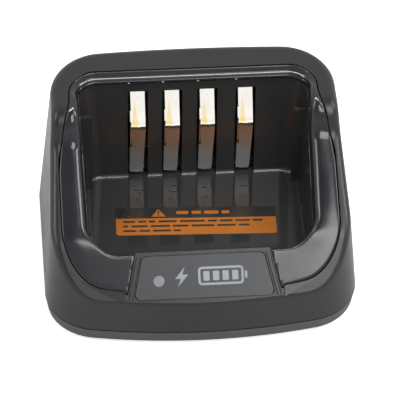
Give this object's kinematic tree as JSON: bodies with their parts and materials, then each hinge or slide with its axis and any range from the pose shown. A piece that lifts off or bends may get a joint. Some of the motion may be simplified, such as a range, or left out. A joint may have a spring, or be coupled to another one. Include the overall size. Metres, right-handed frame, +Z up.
{
  "type": "two-way radio desktop charger",
  "caption": "Desktop drop-in charger with a hooded pocket for a hand-held two-way radio, sprung back-wall contacts and a rear power inlet.",
  "frame": {"origin": "on the desk under the middle of the charger, at the centre of the footprint", "axes": "+X is the width, +Y points to the rear (the hood and the power inlet), +Z is up"},
  "size_m": [0.086, 0.0718, 0.0502],
  "materials": {
    "housing_plastic": "satin",
    "collar_plastic": "gloss",
    "pocket_plastic": "gloss",
    "panel_plastic": "satin",
    "guide_plastic": "frosted",
    "lamp_epoxy": "milky",
    "base_plastic": "fine texture",
    "rating_film": "satin",
    "notice_film": "satin",
    "foot_rubber": "matte",
    "screw_steel": "zinc plated",
    "board_laminate": "solder mask",
    "carrier_plastic": "matte",
    "axle_steel": "plain",
    "terminal_brass": "plain",
    "jack_plastic": "matte",
    "jack_pin_nickel": "plated",
    "tinned_lead": "tinned",
    "chip_epoxy": "moulded",
    "ferrite": "sintered",
    "can_aluminium": "drawn",
    "chip_ceramic": "ceramic",
    "contact_gold": "gold plated"
  },
  "bodies": {
    "charger": {"top_housing": "housing_plastic", "collar_bezel": "collar_plastic", "pocket_well": "pocket_plastic", "front_panel": "panel_plastic", "light_guide": "guide_plastic", "indicator_led": "lamp_epoxy", "led_leads": "tinned_lead", "base_cover": "base_plastic", "rating_label": "rating_film", "notice_label": "notice_film", "rubber_feet": "foot_rubber", "case_screws": "screw_steel", "board_screws": "screw_steel", "circuit_board": "board_laminate", "contact_carrier": "carrier_plastic", "contact_axles": "axle_steel", "contact_terminals": "terminal_brass", "dc_jack_shell": "jack_plastic", "dc_jack_pin": "jack_pin_nickel", "dc_jack_terminals": "tinned_lead", "charge_controller": "chip_epoxy", "power_transistor": "chip_epoxy", "power_inductor": "ferrite", "rectifier_diode": "chip_epoxy", "electrolytic_capacitors": "can_aluminium", "chip_parts": "chip_ceramic"},
    "contact_1": {"contact_spring_1": "contact_gold"},
    "contact_2": {"contact_spring_2": "contact_gold"},
    "contact_3": {"contact_spring_3": "contact_gold"},
    "contact_4": {"contact_spring_4": "contact_gold"}
  },
  "joints": [
    {"name": "contact_1_flex", "type": "hinge", "parent": "charger", "child": "contact_1", "pos_m": [-0.0149, 0.0237, 0.0126], "axis": [-1, 0, 0], "range_deg": [0, 8], "stiffness_Nm_per_rad": 0.03},
    {"name": "contact_2_flex", "type": "hinge", "parent": "charger", "child": "contact_2", "pos_m": [-0.0053, 0.0237, 0.0126], "axis": [-1, 0, 0], "range_deg": [0, 8], "stiffness_Nm_per_rad": 0.03},
    {"name": "contact_3_flex", "type": "hinge", "parent": "charger", "child": "contact_3", "pos_m": [0.0045, 0.0237, 0.0126], "axis": [-1, 0, 0], "range_deg": [0, 8], "stiffness_Nm_per_rad": 0.03},
    {"name": "contact_4_flex", "type": "hinge", "parent": "charger", "child": "contact_4", "pos_m": [0.0152, 0.0237, 0.0126], "axis": [-1, 0, 0], "range_deg": [0, 8], "stiffness_Nm_per_rad": 0.03}
  ]
}
